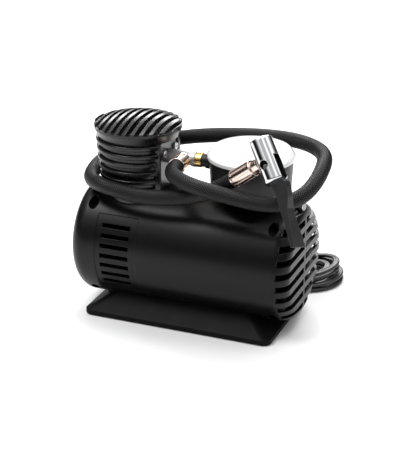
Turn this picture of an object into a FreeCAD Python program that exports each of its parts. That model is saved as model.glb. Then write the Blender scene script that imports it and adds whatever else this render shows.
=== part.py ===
"""A small 12 V air compressor: a drum housing on a flared base, a finned pump head,
a gauge, a braided air hose with a thumb-lever chuck, and a power cord with its plug.

Millimetres, +Z up, X along the motor, the origin on the floor under the middle of the base.
Pump head at -X, louvred end at +X, the front half of the housing at -Y.
"""
import FreeCAD, Part
import Sketcher
import math
import os
import re
from FreeCAD import Placement, Rotation, Vector

SIZES = [
    # housing drum
    ("drum_radius", 42.5), ("drum_height", 49), ("drum_half", 82), ("drum_round", 11),
    ("shell_wall", 2.4), ("panel_depth", 0.35), ("panel_start", -61), ("panel_end", -30),
    ("slot_start", -57), ("slot_end", -35), ("slot_height", 3.3), ("slot_pitch", 10), ("slot_count", 7),
    ("louvre_start", 74), ("louvre_gap", 4.4), ("louvre_pitch", 9), ("louvre_low", 17.1), ("louvre_count", 9),
    ("seam_rib", 1.3), ("screw_across", 67.5), ("screw_rise", 33), ("screw_well", 3.6), ("boss_wall", 2),
    ("screw_well_depth", 15), ("saddle_thick", 2.4), ("saddle_inset", 9),
    # base
    ("base_length", 142), ("base_width", 84), ("base_corner", 6), ("base_lip", 3), ("base_wall", 2.4),
    ("skirt_top_length", 96), ("skirt_top_width", 48), ("skirt_top", 18.5), ("foot_radius", 4.5),
    ("foot_height", 2.2), ("foot_proud", 1), ("foot_inset", 10), ("base_screw_across", 40),
    ("base_screw_out", 14), ("base_boss", 4.5),
    # pump axis and drive
    ("head_place", -44), ("crank_height", 58), ("gear_module", 0.8), ("gear_teeth", 55),
    ("pinion_teeth", 11), ("tooth_backlash", 0.2), ("gear_start", -33.5), ("gear_width", 7),
    ("web_start", -37), ("web_width", 3), ("web_radius", 15), ("throw", 7), ("crank_pin", 2.5),
    ("pin_gap", 0.5), ("shaft_radius", 2.5), ("rod_length", 42), ("rod_width", 7), ("rod_eye", 6.5),
    ("rod_bearing", 4), ("rod_small_eye", 4.5), ("rod_shank", 6), ("wrist_radius", 2), ("running_gap", 0.03),
    # crankcase
    ("case_left", -60), ("case_plate", 3), ("case_top", 85.5), ("case_top_plate", 3.5),
    ("case_half_width", 15), ("bearing_radius", 6.5), ("bearing_width", 4), ("bearing_wall", 3),
    ("bearing_gap", 0.3),
    # piston and cylinder
    ("bore_radius", 12), ("piston_gap", 0.3), ("seal_gap", 0.05), ("piston_below", 7), ("piston_above", 5),
    ("seal_height", 2.4), ("seal_depth", 1.4), ("seal_down", 1.2), ("cylinder_wall", 3), ("cylinder_top", 112.8),
    ("flange_radius", 19.5), ("flange_height", 3), ("gasket_height", 0.6), ("head_radius", 18),
    ("head_top", 125), ("head_fin", 4), ("seat_rise", 2), ("seat_hole", 2.2), ("valve_radius", 4.5),
    ("valve_height", 1.2), ("chamber_radius", 6.5), ("chamber_height", 7),
    ("head_screw_out", 14.8), ("head_screw", 1.5),
    # shroud and cap
    ("shroud_bore", 24.2), ("shroud_low", 27.2), ("shroud_high", 30.6), ("shroud_root", 2.2),
    ("ring_count", 6), ("ring_low", 94), ("ring_pitch", 6.4), ("ring_height", 3.3), ("rim_radius", 31.4),
    ("rim_root", 29), ("rim_low", 128.6), ("rim_high", 134.5), ("cap_edge", 2.8), ("dome_rise", 5.8),
    ("bar_pitch", 5.75), ("bar_width", 2.5), ("groove_floor", 4.5), ("flat_out", 23.5), ("pillar_out", 15.8),
    ("pillar_width", 5), ("shroud_screw_out", 9.6), ("shroud_screw_height", 119),
    # motor
    ("motor_face", -17), ("motor_length", 54), ("motor_radius", 17.5), ("motor_wall", 1.5),
    ("end_cap", 5), ("motor_shaft", 1.6), ("bush_radius", 4), ("bush_length", 4), ("magnet_thick", 4),
    ("air_gap", 0.9), ("core_offset", 9), ("core_length", 30), ("winding_out", 4.5), ("commutator_radius", 5),
    ("commutator_length", 4.6), ("brush_length", 5),
    # outlet and gauge
    ("outlet_height", 114.8), ("outlet_radius", 5.1), ("outlet_end", 0.5), ("outlet_drop", 2.2), ("nipple_length", 5),
    ("nipple_radius", 5.4), ("stem_radius", 4.7), ("branch_place", -7), ("branch_radius", 3.4),
    ("crimp_start", 6.5), ("crimp_length", 13), ("crimp_radius", 6.2), ("gauge_place", 41.3),
    ("gauge_radius", 29.5), ("gauge_low_radius", 28), ("gauge_floor", 98), ("gauge_rim", 123.4),
    ("gauge_wall", 2), ("dial_height", 122.2), ("dial_thick", 0.6), ("lens_thick", 1.6), ("bezel_radius", 30.6),
    ("bezel_lap", 3.6), ("bezel_skirt", 1.6), ("bezel_top", 128.2), ("needle_gap", 0.6), ("needle_thick", 0.5),
    ("needle_length", 20), ("needle_shaft", 0.8), ("bourdon_radius", 16), ("bourdon_tube", 1.5),
    ("bourdon_height", 110),
    # chuck
    ("chuck_x", 75.5), ("chuck_y", -46), ("chuck_z", 124.5), ("chuck_lean", 42.54), ("chuck_bearing", 141.6),
    ("chuck_roll", -152.75), ("barrel_radius", 8), ("barrel_length", 31), ("barrel_round", 1.6),
    ("mouth_radius", 6), ("mouth_depth", 11.2), ("seal_bore", 4.15), ("seal_length", 9.8), ("inlet_height", 16.7),
    ("pivot_height", 11), ("pivot_radius", 1.5), ("lever_slot", 6.5), ("lever_slot_top", 17),
    ("lever_thick", 5.9), ("lever_cam", 3.8), ("lever_length", 46), ("lever_foot", 13), ("lever_flare", 12), ("window_radius", 3.1),
    ("neck_length", 5), ("neck_radius", 4.4), ("ferrule_length", 18), ("ferrule_radius", 5.9), ("flutes", 10),
    # hose and cord
    ("hose_radius", 5.5), ("cord_radius", 2.5), ("hank_half_length", 86), ("hank_front", 52),
    ("hank_back", 108), ("hank_band", 11), ("hank_height", 10), ("floor_gap", 0.2), ("tie_place", -30),
    ("tie_width", 9), ("tie_thick", 1.2), ("gland_x", 62), ("gland_z", 21), ("gland_length", 16),
    ("gland_radius", 5), ("gland_tip_radius", 3.4),
    # plug
    ("plug_y", 79.5), ("plug_back", -34), ("plug_handle", 32), ("plug_handle_radius", 10.6),
    ("plug_nose", 31), ("plug_nose_radius", 9.9), ("plug_ring_length", 5), ("plug_ring_radius", 8.4),
    ("tip_length", 8), ("tip_radius", 3.6), ("tip_travel", 3), ("contact_width", 4), ("contact_proud", 0.9),
    ("plug_lead_length", 26), ("plug_wall", 2.2),
]
FUNCTIONS = ("sqrt", "sin", "cos", "tan")
MOTOR_HEIGHT = "crank_height - gear_module * (gear_teeth + pinion_teeth) / 2"

HOSE_ROUTE = [
    (-7, -19.5, 114.8), (-7, -31, 114.8), (5, -39.5, 112.8), (21.8, -47, 112.5), (36.4, -47.3, 110.8),
    (50.6, -46.8, 108.8), (64.3, -46, 107.4), (77.5, -43, 107.7), (88, -33, 110.3), (92.9, -20, 115.2),
    (93.4, -2, 121), (90, 15, 123.6), (79, 29.5, 124.2), (61, 38.5, 124.4), (40, 40.5, 124), (16, 40.5, 122),
    (-8, 41.5, 118.4), (-32, 42.5, 113), (-53, 39.5, 107.5), (-70, 29, 103), (-80, 13.5, 99.6),
    (-79.2, -2.5, 97.2), (-74, -18.5, 97), (-61, -31.5, 98.4), (-44.4, -36.2, 97.9), (-28, -37.2, 96.2),
    (-10, -36, 97), (9, -34.5, 100), (27.9, -36.7, 107.6), (42.24, -37.52, 118.41),
]
CORD_ROUTE = [
    (62, 47.8, 21), (62, 55, 20.6), (57, 62, 17), (47, 62, 14), (36, 59, 12.2), (24, 58, 11),
]

doc = FreeCAD.newDocument("AirCompressor")
sheet = doc.addObject("Spreadsheet::Sheet", "Sizes")
for row, (alias, value) in enumerate(SIZES, 1):
    sheet.set(f"A{row}", alias)
    sheet.set(f"B{row}", str(value))
    sheet.setAlias(f"B{row}", alias)
doc.recompute()
sub_parts = []


def mm(expression):
    """The number that an expression of sheet aliases gives."""
    return float(sheet.evalExpression(expression))


def bound(expression):
    """The same expression as another object reads it, each alias named with its sheet."""
    def full(found):
        word = found.group(0)
        return word if word in FUNCTIONS else "Sizes." + word
    return re.sub(r"[a-z][a-z_]*", full, expression)


def bind(item, **expressions):
    for key, expression in expressions.items():
        item.setExpression(key, bound(expression))
    return item


def place(item, x="0", y="0", z="0", turn=None):
    """Turns a piece, then binds its place to the sheet."""
    if turn is not None:
        item.Placement = Placement(Vector(0, 0, 0), turn)
    for key, expression in (("x", x), ("y", y), ("z", z)):
        item.setExpression(f".Placement.Base.{key}", bound(expression))
    return item


ALONG_X = Rotation(Vector(0, 0, 1), Vector(1, 0, 0))
ALONG_MINUS_X = Rotation(Vector(0, 0, 1), Vector(-1, 0, 0))
ALONG_Y = Rotation(Vector(0, 0, 1), Vector(0, 1, 0))
ALONG_MINUS_Y = Rotation(Vector(0, 0, 1), Vector(0, -1, 0))


def block(name, length, width, height, x="0", y="0", z="0"):
    """A box from its lowest corner."""
    item = bind(doc.addObject("Part::Box", name), Length=length, Width=width, Height=height)
    return place(item, x, y, z)


def rod(name, radius, height, x="0", y="0", z="0", turn=None):
    """A plain cylinder from the middle of its lower face."""
    item = bind(doc.addObject("Part::Cylinder", name), Radius=radius, Height=height)
    return place(item, x, y, z, turn)


def cone(name, low, high, height, x="0", y="0", z="0", turn=None):
    item = bind(doc.addObject("Part::Cone", name), Radius1=low, Radius2=high, Height=height)
    return place(item, x, y, z, turn)


def fused(name, *pieces):
    item = doc.addObject("Part::MultiFuse", name)
    item.Shapes = list(pieces)
    item.Refine = True
    return item


def cut(name, base, *tools):
    item = doc.addObject("Part::Cut", name)
    item.Base = base
    item.Tool = tools[0] if len(tools) == 1 else fused(name + "_tools", *tools)
    item.Refine = True
    return item


def shaped(name, shape):
    """A piece whose faces are worked out from the sheet."""
    item = doc.addObject("Part::Feature", name)
    item.Shape = shape
    return item


def sub_part(item, label):
    """Marks a finished piece as one of the object's own."""
    item.Label = label
    sub_parts.append(item)
    return item


def profile_sketch(body, name, plane, outline):
    """A closed outline of straight lines, each corner bound to the sheet."""
    sketch = body.newObject("Sketcher::SketchObject", name)
    support = [item for item in body.Origin.OriginFeatures if item.Role == plane][0]
    sketch.AttachmentSupport = [(support, "")]
    sketch.MapMode = "FlatFace"
    corners = [(mm(across), mm(up)) for across, up in outline]
    count = len(outline)
    for index, corner in enumerate(corners):
        following = corners[(index + 1) % count]
        sketch.addGeometry(Part.LineSegment(Vector(*corner, 0), Vector(*following, 0)))
    for index in range(count):
        sketch.addConstraint(Sketcher.Constraint("Coincident", index, 2, (index + 1) % count, 1))
    for index, (across, up) in enumerate(outline):
        for kind, expression, axis, number in (
                ("DistanceX", across, -2, corners[index][0]), ("DistanceY", up, -1, corners[index][1])):
            if expression == "0":
                sketch.addConstraint(Sketcher.Constraint("PointOnObject", index, 1, axis))
                continue
            row = sketch.addConstraint(Sketcher.Constraint(kind, -1, 1, index, 1, number))
            sketch.setExpression(f"Constraints[{row}]", bound(expression))
    return sketch


def turned(name, outline, x="0", y="0", z="0", turn=None):
    """A lathe-turned piece: (radius, height) corners turned about its own axis."""
    body = doc.addObject("PartDesign::Body", name)
    sketch = profile_sketch(body, name + "_sketch", "XZ_Plane", outline)
    feature = body.newObject("PartDesign::Revolution", name + "_turn")
    feature.Profile = sketch
    feature.ReferenceAxis = (sketch, ["V_Axis"])
    feature.Angle = 360
    body.Tip = feature
    return place(body, x, y, z, turn)


def padded(name, plane, outline, thickness, x="0", y="0", z="0", turn=None):
    """A flat piece: an outline padded to both sides of its plane."""
    body = doc.addObject("PartDesign::Body", name)
    sketch = profile_sketch(body, name + "_sketch", plane, outline)
    feature = body.newObject("PartDesign::Pad", name + "_pad")
    feature.Profile = sketch
    feature.Midplane = True
    bind(feature, Length=thickness)
    body.Tip = feature
    return place(body, x, y, z, turn)


def around(count, radius, start=0.0):
    """Evenly spaced points on a circle."""
    for index in range(count):
        angle = math.radians(start + 360.0 * index / count)
        yield math.cos(angle) * radius, math.sin(angle) * radius, math.degrees(angle)


def rounded_outline(length, width, corner, z):
    """A rectangle with round corners, at a height."""
    edges = []
    x, y, r = length / 2, width / 2, corner
    slant = r * (1 - math.sqrt(0.5))
    for sx, sy in ((1, 1), (-1, 1), (-1, -1), (1, -1)):
        start = Vector(sx * x, sy * (y - r), z)
        middle = Vector(sx * (x - slant), sy * (y - slant), z)
        end = Vector(sx * (x - r), sy * y, z)
        ends = (start, end) if sx * sy > 0 else (end, start)
        edges.append(Part.Arc(ends[0], middle, ends[1]).toShape())
    lines = []
    for index, arc in enumerate(edges):
        lines.append(arc)
        leaving = arc.Vertexes[-1].Point
        arriving = edges[(index + 1) % 4].Vertexes[0].Point
        lines.append(Part.makeLine(leaving, arriving))
    return Part.Wire(lines)


# ---------------------------------------------------------------- housing

def drum(inset):
    """The drum's solid, its wall moved in by inset."""
    radius = mm("drum_radius") - inset
    half = mm("drum_half") - inset
    edge = mm("drum_round") - inset
    slant = edge * (1 - math.sqrt(0.5))
    corners = [Vector(-half, 0, 0), Vector(-half, 0, radius - edge), Vector(-half + edge, 0, radius),
               Vector(half - edge, 0, radius), Vector(half, 0, radius - edge), Vector(half, 0, 0)]
    left = Part.Arc(corners[1], Vector(-half + slant, 0, radius - slant), corners[2]).toShape()
    right = Part.Arc(corners[3], Vector(half - slant, 0, radius - slant), corners[4]).toShape()
    wire = Part.Wire([Part.makeLine(corners[0], corners[1]), left, Part.makeLine(corners[2], corners[3]),
                      right, Part.makeLine(corners[4], corners[5]), Part.makeLine(corners[5], corners[0])])
    solid = Part.Face(wire).revolve(Vector(0, 0, 0), Vector(1, 0, 0), 360)
    solid.translate(Vector(0, 0, mm("drum_height")))
    return solid


def along_y(radius, x, z, start, end):
    return Part.makeCylinder(radius, end - start, Vector(x, start, z), Vector(0, 1, 0))


def screw_places():
    for across in (-1, 1):
        for up in (-1, 1):
            yield across * mm("screw_across"), mm("drum_height") + up * mm("screw_rise")


def side_slots(side):
    """Short slots square to the drum, evenly turned about its axis, with the panel they sit in."""
    radius = mm("drum_radius")
    height = mm("drum_height")
    start, end = mm("slot_start"), mm("slot_end")
    tools = []
    first = -(mm("slot_count") - 1) / 2
    for index in range(int(mm("slot_count"))):
        slot = Part.makeBox(end - start, 2 * mm("shell_wall") + 4, mm("slot_height"),
                            Vector(start, radius - mm("shell_wall") - 3, -mm("slot_height") / 2))
        slot.rotate(Vector(0, 0, 0), Vector(1, 0, 0), (first + index) * mm("slot_pitch"))
        if side < 0:
            slot = slot.mirror(Vector(0, 0, 0), Vector(0, 1, 0))
        slot.translate(Vector(0, 0, height))
        tools.append(slot)
    panel_length = mm("panel_end") - mm("panel_start")
    ring = Part.makeCylinder(radius + 1, panel_length, Vector(mm("panel_start"), 0, height), Vector(1, 0, 0))
    ring = ring.cut(Part.makeCylinder(radius - mm("panel_depth"), panel_length,
                                      Vector(mm("panel_start"), 0, height), Vector(1, 0, 0)))
    reach = radius * math.sin(math.radians(mm("slot_pitch") * mm("slot_count") / 2 + 6))
    window = Part.makeBox(panel_length, radius + 2, 2 * reach,
                          Vector(mm("panel_start"), 0 if side > 0 else -radius - 2, height - reach))
    tools.append(ring.common(window))
    return tools


def end_louvres(side):
    """Level slots that wrap round the end of the drum and stop at the seam."""
    tools = []
    rib = mm("seam_rib")
    depth = mm("drum_half") - mm("louvre_start") + 2
    reach = mm("drum_radius") + 2
    for index in range(int(mm("louvre_count"))):
        z = mm("louvre_low") + index * mm("louvre_pitch") - mm("louvre_gap") / 2
        tools.append(Part.makeBox(depth, reach - rib, mm("louvre_gap"),
                                  Vector(mm("louvre_start"), rib if side > 0 else -reach, z)))
    return tools


def housing_half(side):
    outer = drum(0)
    reach = mm("drum_radius") + 5
    half_space = Part.makeBox(4 * reach, reach, 4 * reach,
                              Vector(-2 * reach, 0 if side > 0 else -reach, -reach))
    shell = outer.cut(drum(mm("shell_wall"))).common(half_space)
    bosses = []
    wells = []
    for x, z in screw_places():
        boss = along_y(mm("screw_well + boss_wall"), x, z, min(0, side * reach), max(0, side * reach))
        bosses.append(boss.common(outer))
        if side < 0:
            wells.append(along_y(mm("screw_well"), x, z, -reach, -mm("screw_well_depth")))
            wells.append(along_y(mm("head_screw"), x, z, -reach, 0.5))
        else:
            wells.append(along_y(mm("head_screw"), x, z, -0.5, mm("screw_well_depth")))
    solid = shell.multiFuse(bosses)
    opening = Part.makeCylinder(mm("flange_radius") + 2.5, reach, Vector(mm("head_place"), 0, mm("case_top") - 6))
    tools = side_slots(side) + end_louvres(side) + wells + [opening]
    if side > 0:
        tools.append(along_y(mm("gland_tip_radius") + 0.6, mm("gland_x"), mm("gland_z"), 5, reach))
    for x, y in base_screw_places():
        tools.append(Part.makeCylinder(mm("head_screw"), 20, Vector(x, y, 0)))
    solid = solid.cut(tools)
    for x in (mm("motor_face + saddle_inset"), mm("motor_face + motor_length - saddle_inset")):
        saddle = Part.makeBox(mm("saddle_thick"), 2 * reach, mm(MOTOR_HEIGHT) + 6,
                              Vector(x, -reach, 0)).common(drum(mm("shell_wall") / 2)).common(half_space)
        grip = Part.makeCylinder(mm("motor_radius"), 2 * mm("motor_length"),
                                 Vector(-mm("motor_length"), 0, mm(MOTOR_HEIGHT)), Vector(1, 0, 0))
        solid = solid.fuse(saddle.cut(grip))
    for x, y in base_screw_places():
        if y * side > 0:
            post = Part.makeCylinder(mm("base_boss") - 1, 9, Vector(x, y, mm("drum_height - drum_radius") + 2.9))
            post = post.common(drum(0)).cut(Part.makeCylinder(mm("head_screw"), 30, Vector(x, y, 0)))
            solid = solid.fuse(post)
    return solid.removeSplitter()


def base_screw_places():
    for across in (-1, 1):
        for out in (-1, 1):
            yield across * mm("base_screw_across"), out * mm("base_screw_out")


def foot_places():
    for across in (-1, 1):
        for out in (-1, 1):
            yield (across * (mm("base_length") / 2 - mm("foot_inset")),
                   out * (mm("base_width") / 2 - mm("foot_inset")))


def base_solid(inset):
    """The flared base, its walls moved in by inset."""
    length, width = mm("base_length") - 2 * inset, mm("base_width") - 2 * inset
    top_length, top_width = mm("skirt_top_length") - 2 * inset, mm("skirt_top_width") - 2 * inset
    corner = mm("base_corner") - inset / 2
    low = mm("foot_proud") + inset
    lip_top = mm("foot_proud + base_lip")
    lip = Part.Face(rounded_outline(length, width, corner, low)).extrude(Vector(0, 0, lip_top - low))
    skirt = Part.makeLoft([rounded_outline(length, width, corner, lip_top),
                           rounded_outline(top_length, top_width, corner / 2, mm("skirt_top"))], True, True)
    return lip.fuse(skirt).removeSplitter()


def base_plate():
    solid = base_solid(0).cut(base_solid(mm("base_wall")))
    low = mm("foot_proud")
    bosses = [Part.makeCylinder(mm("base_boss"), mm("skirt_top") - low, Vector(x, y, low))
              for x, y in base_screw_places()]
    solid = solid.multiFuse(bosses).cut(drum(0))
    tools = []
    for x, y in base_screw_places():
        tools.append(Part.makeCylinder(mm("head_screw + 0.1"), 30, Vector(x, y, 0)))
        tools.append(Part.makeCylinder(mm("head_screw + 1.6"), 2.5, Vector(x, y, low - 0.5)))
    for x, y in foot_places():
        tools.append(Part.makeCylinder(mm("foot_radius"), mm("foot_height"), Vector(x, y, 0)))
    return solid.cut(tools).removeSplitter()


def screw(radius, length, head_radius, head_height, place_at, direction):
    """A pan-head screw with a cross slot: its head at place_at, its shank along direction."""
    shank = Part.makeCylinder(radius, length, Vector(0, 0, 0))
    head = Part.makeCylinder(head_radius, head_height, Vector(0, 0, -head_height))
    rim = [edge for edge in head.Edges if edge.BoundBox.ZMax < -head_height + 0.01]
    head = head.makeFillet(head_height * 0.4, rim[:1])
    slot = Part.makeBox(head_radius * 1.3, radius * 0.5, head_height * 0.5,
                        Vector(-head_radius * 0.65, -radius * 0.25, -head_height))
    solid = head.fuse(shank).cut(slot)
    slot.rotate(Vector(0, 0, 0), Vector(0, 0, 1), 90)
    solid = solid.cut(slot).removeSplitter()
    solid.Placement = Placement(place_at, Rotation(Vector(0, 0, 1), direction))
    return solid


def housing():
    sub_part(shaped("housing_front", housing_half(-1)), "housing_front")
    sub_part(shaped("housing_rear", housing_half(1)), "housing_rear")
    screws = [screw(mm("head_screw"), mm("screw_well_depth") * 1.8, mm("screw_well - 0.3"), 2,
                    Vector(x, -mm("screw_well_depth"), z), Vector(0, 1, 0)) for x, z in screw_places()]
    sub_part(shaped("housing_screws", Part.makeCompound(screws)), "housing_screws")
    sub_part(shaped("base_plate", base_plate()), "base_plate")
    feet = [Part.makeCylinder(mm("foot_radius"), mm("foot_height"), Vector(x, y, 0)) for x, y in foot_places()]
    sub_part(shaped("rubber_feet", Part.makeCompound(feet)), "rubber_feet")
    low = mm("foot_proud") + 2
    screws = [screw(mm("head_screw"), 14, mm("head_screw + 1.5"), 1.6, Vector(x, y, low), Vector(0, 0, 1))
              for x, y in base_screw_places()]
    sub_part(shaped("base_screws", Part.makeCompound(screws)), "base_screws")


# ---------------------------------------------------------------- shroud and cap

def head_shroud():
    """A tapered cup round the cylinder with level ring fins, a flat for the outlet and two pillars."""
    centre = Vector(mm("head_place"), 0, 0)
    low, high = mm("drum_height"), mm("rim_low")
    first = mm("ring_low") - mm("ring_height")
    taper = (mm("shroud_high") - mm("shroud_low")) / (high - first)

    def outside(z):
        return mm("shroud_low") + taper * (z - first)

    root = mm("shroud_root")
    solids = [Part.makeCone(outside(low) - root, outside(high) - root, high - low, centre + Vector(0, 0, low)),
              Part.makeCone(mm("rim_root"), mm("rim_radius"), mm("rim_high") - high, centre + Vector(0, 0, high))]
    for index in range(int(mm("ring_count"))):
        z = mm("ring_low") + index * mm("ring_pitch") - mm("ring_height") / 2
        ring = Part.makeCone(outside(z), outside(z + mm("ring_height")), mm("ring_height"),
                             centre + Vector(0, 0, z))
        solids.append(ring.makeFillet(0.9, [edge for edge in ring.Edges if len(edge.Vertexes) == 1]))
    solid = solids[0].multiFuse(solids[1:])
    flat = Part.makeBox(20, 60, high - low, centre + Vector(mm("flat_out"), -30, low))
    solid = solid.cut(flat)
    for side in (-1, 1):
        pillar = Part.makeBox(mm("pillar_width"), mm("pillar_width"), high - low,
                              centre + Vector(mm("flat_out - pillar_width + 1.2"),
                                              side * mm("pillar_out") - mm("pillar_width") / 2, low))
        upright = [edge for edge in pillar.Edges if edge.BoundBox.ZLength > 10]
        solid = solid.fuse(pillar.makeFillet(1.2, upright))
    back = Part.makeBox(3.4, 2 * mm("pillar_out"), high - low,
                        centre + Vector(mm("flat_out") - 3.4, -mm("pillar_out"), low))
    solid = solid.fuse(back)
    hollow = Part.makeCylinder(mm("shroud_bore"), 200, centre)
    hollow = hollow.cut(Part.makeBox(20, 60, 200, centre + Vector(mm("flat_out") - 2, -30, 0)))
    tools = [hollow, drum(0)]
    tools.append(Part.makeCylinder(mm("outlet_radius") + 0.4, 40,
                                   centre + Vector(10, 0, mm("outlet_height")), Vector(1, 0, 0)))
    for side in (-1, 1):
        tools.append(Part.makeCylinder(mm("head_screw"), 12, centre + Vector(
            16, side * mm("shroud_screw_out"), mm("shroud_screw_height")), Vector(1, 0, 0)))
    solid = solid.cut(tools).removeSplitter()
    return max(solid.Solids, key=lambda piece: piece.Volume)


def louvre_cap():
    """A shallow dome with deep straight grooves across it, square to the motor, on a plain edge band."""
    radius, rise = mm("rim_radius"), mm("dome_rise")
    place_x = mm("head_place")
    z = mm("rim_high")
    sphere_radius = (radius ** 2 + rise ** 2) / (2 * rise)
    centre = Vector(place_x, 0, z + mm("cap_edge") + rise - sphere_radius)
    disc = Part.makeCylinder(radius, mm("cap_edge") + rise + 1, Vector(place_x, 0, z))
    outer = Part.makeSphere(sphere_radius, centre).common(disc)
    floor = Part.makeSphere(sphere_radius - mm("groove_floor"), centre)
    count = int(radius / mm("bar_pitch"))
    gap = mm("bar_pitch") - mm("bar_width")
    starts = [place_x + index * mm("bar_pitch") - gap / 2 for index in range(-count, count + 1)]
    inside = Part.makeCylinder(radius - 2.2, 4 * rise, Vector(place_x, 0, z))
    deep = [Part.makeBox(gap, 4 * radius, 4 * rise, Vector(x, -2 * radius, z + 0.8)) for x in starts]
    across = [Part.makeBox(gap, 4 * radius, 4 * rise, Vector(x, -2 * radius, z + 1.7)) for x in starts]
    pockets = deep[0].multiFuse(deep[1:]).common(inside).cut(floor)
    ends = across[0].multiFuse(across[1:]).cut(inside)
    spigot = Part.makeCylinder(radius - 3, 3, Vector(place_x, 0, z - 3))
    spigot = spigot.cut(Part.makeCylinder(radius - 5, 3, Vector(place_x, 0, z - 3)))
    return outer.cut([pockets, ends]).fuse(spigot).removeSplitter()


def head_cover():
    shroud = head_shroud()
    recess = Part.makeCylinder(mm("rim_radius") - 3 + 0.05, 3.05,
                               Vector(mm("head_place"), 0, mm("rim_high") - 3))
    shroud = shroud.cut(recess)
    sub_part(shaped("head_shroud", shroud), "head_shroud")
    sub_part(shaped("louvre_cap", louvre_cap()), "louvre_cap")
    face = mm("head_place + flat_out")
    screws = [screw(mm("head_screw"), 5, 2.8, 1.8, Vector(face, side * mm("shroud_screw_out"),
                                                        mm("shroud_screw_height")), Vector(-1, 0, 0))
              for side in (-1, 1)]
    sub_part(shaped("shroud_screws", Part.makeCompound(screws)), "shroud_screws")


# ---------------------------------------------------------------- crankcase and drive

def crankcase():
    """A bent bracket: the bridge that carries the cylinder, and the plate with the crank's bearings
    on one side and the motor on the other."""
    span = "motor_face - case_left"
    foot = MOTOR_HEIGHT + " - motor_radius"
    outline = [("0", "case_top - case_top_plate"), (span + " - case_plate", "case_top - case_top_plate"),
               (span + " - case_plate", foot), (span, foot), (span, "case_top"), ("0", "case_top")]
    frame = padded("case_frame", "XZ_Plane", outline, "2 * case_half_width", x="case_left")
    boss_length = "2 * bearing_width + bearing_gap + 0.6"
    boss = rod("case_boss", "bearing_radius + bearing_wall", boss_length,
               "motor_face - 2 * bearing_width - bearing_gap - 0.6", "0", "crank_height", ALONG_X)
    pocket = rod("case_pocket", "bearing_radius", "2 * bearing_width + bearing_gap",
                 "motor_face - 2 * bearing_width - bearing_gap - 0.3", "0", "crank_height", ALONG_X)
    mouth = rod("case_mouth", "bearing_radius - 1", "30", "motor_face - 20", "0", "crank_height", ALONG_X)
    spigot = rod("case_spigot_hole", "bore_radius + cylinder_wall - 1", "10",
                 "head_place", "0", "case_top - 8")
    motor_boss = rod("case_motor_hole", "bush_radius + 2", "10", "motor_face - 8", "0", MOTOR_HEIGHT, ALONG_X)
    sub_part(cut("crankcase", fused("case_solid", frame, boss), pocket, mouth, spigot, motor_boss), "crankcase")
    rings = []
    for index in range(2):
        x = mm("motor_face - 2 * bearing_width - bearing_gap - 0.3")
        x += index * mm("bearing_width + bearing_gap")
        ring = Part.makeCylinder(mm("bearing_radius"), mm("bearing_width"), Vector(x, 0, mm("crank_height")),
                                 Vector(1, 0, 0))
        rings.append(ring.cut(Part.makeCylinder(mm("shaft_radius + running_gap"), 20,
                                                Vector(x - 5, 0, mm("crank_height")), Vector(1, 0, 0))))
    sub_part(shaped("crank_bearings", Part.makeCompound(rings)), "crank_bearings")


def involute_gear(teeth, bore, width, phase):
    """A spur gear along +X from the origin, one tooth at the phase angle from +Y."""
    module = mm("gear_module")
    pitch_radius = module * teeth / 2
    base_radius = pitch_radius * math.cos(math.radians(20))
    root_radius = pitch_radius - 1.3 * module
    tip_radius = pitch_radius + 0.9 * module

    def involute_angle(radius):
        if radius <= base_radius:
            return 0.0
        pressure = math.acos(base_radius / radius)
        return math.tan(pressure) - pressure

    half_tooth = (math.pi * module / 2 - mm("tooth_backlash")) / (2 * pitch_radius)
    half_base = half_tooth + involute_angle(pitch_radius)
    first = max(root_radius, base_radius)
    steps = [first + (tip_radius - first) * share for share in (0.0, 0.25, 0.5, 0.75, 1.0)]
    if root_radius < base_radius:
        steps.insert(0, root_radius)
    points = []
    for tooth in range(teeth):
        middle = phase + 2 * math.pi * tooth / teeth
        for radius in steps:
            angle = middle - (half_base - involute_angle(radius))
            points.append(Vector(0, radius * math.cos(angle), radius * math.sin(angle)))
        for radius in reversed(steps):
            angle = middle + (half_base - involute_angle(radius))
            points.append(Vector(0, radius * math.cos(angle), radius * math.sin(angle)))
    face = Part.Face(Part.makePolygon(points + points[:1]))
    hole = Part.makeCylinder(bore, width, Vector(0, 0, 0), Vector(1, 0, 0))
    return face.extrude(Vector(width, 0, 0)).cut(hole)


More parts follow.
